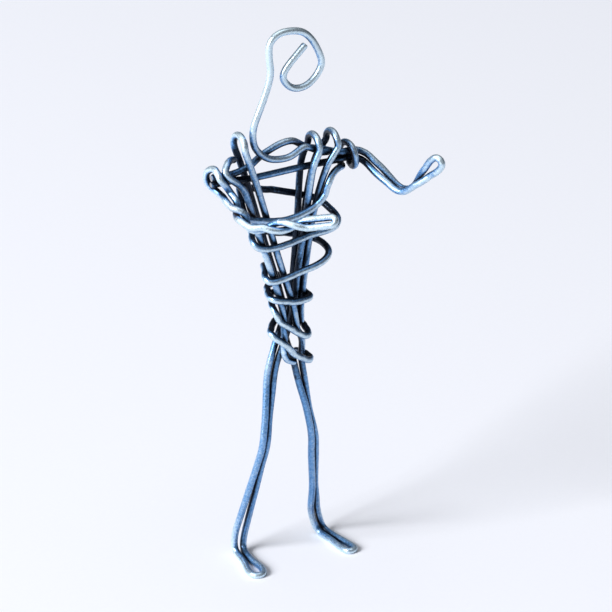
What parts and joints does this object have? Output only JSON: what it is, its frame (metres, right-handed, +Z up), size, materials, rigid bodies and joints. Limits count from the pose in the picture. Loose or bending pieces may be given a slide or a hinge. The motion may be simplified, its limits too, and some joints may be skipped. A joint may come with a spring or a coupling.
{
  "type": "wire figure",
  "caption": "Standing posable figure bent from soft steel wire, with an open curled head, a bound torso, looped hands and feet, and doubled arms and legs that bend at their joints.",
  "frame": {"origin": "on the floor under the middle of the figure's bounding box", "axes": "+Z up from the soles to the head, the figure faces -Y, its left hand is on the +X side"},
  "size_m": [0.049, 0.0292, 0.1314],
  "materials": {
    "wire": "satin, dark grey, with fine drawing marks and pits"
  },
  "bodies": {
    "torso": {"right_shoulder_hairpin": "wire", "left_inner_hairpin": "wire", "left_outer_hairpin": "wire", "shoulder_back_bar": "wire", "shoulder_lower_bar": "wire", "neck_bar": "wire", "right_shoulder_coil": "wire", "right_side_strand": "wire", "chest_binding": "wire", "hip_binding": "wire"},
    "head": {"head_wire": "wire"},
    "right_upper_arm": {"right_upper_arm_front": "wire", "right_upper_arm_back": "wire"},
    "right_forearm": {"right_forearm_loop": "wire"},
    "left_upper_arm": {"left_upper_arm_front": "wire", "left_upper_arm_back": "wire"},
    "left_forearm": {"left_forearm_loop": "wire"},
    "right_thigh": {"right_thigh_outer": "wire", "right_thigh_inner": "wire"},
    "right_shin": {"right_shin_outer": "wire", "right_shin_inner": "wire"},
    "right_foot": {"right_foot_loop": "wire"},
    "left_thigh": {"left_thigh_outer": "wire", "left_thigh_inner": "wire"},
    "left_shin": {"left_shin_outer": "wire", "left_shin_inner": "wire"},
    "left_foot": {"left_foot_loop": "wire"}
  },
  "joints": [
    {"name": "neck_bend", "type": "hinge", "parent": "torso", "child": "head", "pos_m": [-0.01416, 0.00759, 0.1072], "axis": [1, 0, 0], "range_deg": [-25, 25]},
    {"name": "right_shoulder_bend", "type": "hinge", "parent": "torso", "child": "right_upper_arm", "pos_m": [-0.02133, 0.00488, 0.09508], "axis": [0.9085, -0.1199, 0.4004], "range_deg": [-30, 15]},
    {"name": "right_elbow_bend", "type": "hinge", "parent": "right_upper_arm", "child": "right_forearm", "pos_m": [-0.01978, -0.0022, 0.09032], "axis": [0.5389, 0.5584, -0.6308], "range_deg": [-30, 30]},
    {"name": "left_shoulder_bend", "type": "hinge", "parent": "torso", "child": "left_upper_arm", "pos_m": [0.01328, 0.00821, 0.09807], "axis": [0.2844, -0.1531, 0.9464], "range_deg": [-20, 30]},
    {"name": "left_elbow_bend", "type": "hinge", "parent": "left_upper_arm", "child": "left_forearm", "pos_m": [0.01905, -0.00206, 0.09134], "axis": [0.8865, 0.4627, -0.0024], "range_deg": [-30, 30]},
    {"name": "right_hip_bend", "type": "hinge", "parent": "torso", "child": "right_thigh", "pos_m": [-0.00925, 0.00853, 0.0485], "axis": [1, 0, 0], "range_deg": [-30, 25]},
    {"name": "right_knee_bend", "type": "hinge", "parent": "right_thigh", "child": "right_shin", "pos_m": [-0.01235, 0.00589, 0.0308], "axis": [1, 0, 0], "range_deg": [-15, 45]},
    {"name": "right_ankle_bend", "type": "hinge", "parent": "right_shin", "child": "right_foot", "pos_m": [-0.01575, 0.01314, 0.0042], "axis": [1, 0, 0], "range_deg": [-20, 20]},
    {"name": "left_hip_bend", "type": "hinge", "parent": "torso", "child": "left_thigh", "pos_m": [-0.00226, 0.00853, 0.0485], "axis": [1, 0, 0], "range_deg": [-30, 25]},
    {"name": "left_knee_bend", "type": "hinge", "parent": "left_thigh", "child": "left_shin", "pos_m": [0.00034, 0.00589, 0.0308], "axis": [1, 0, 0], "range_deg": [-15, 45]},
    {"name": "left_ankle_bend", "type": "hinge", "parent": "left_shin", "child": "left_foot", "pos_m": [0.00435, 0.01314, 0.0042], "axis": [1, 0, 0], "range_deg": [-20, 20]}
  ]
}
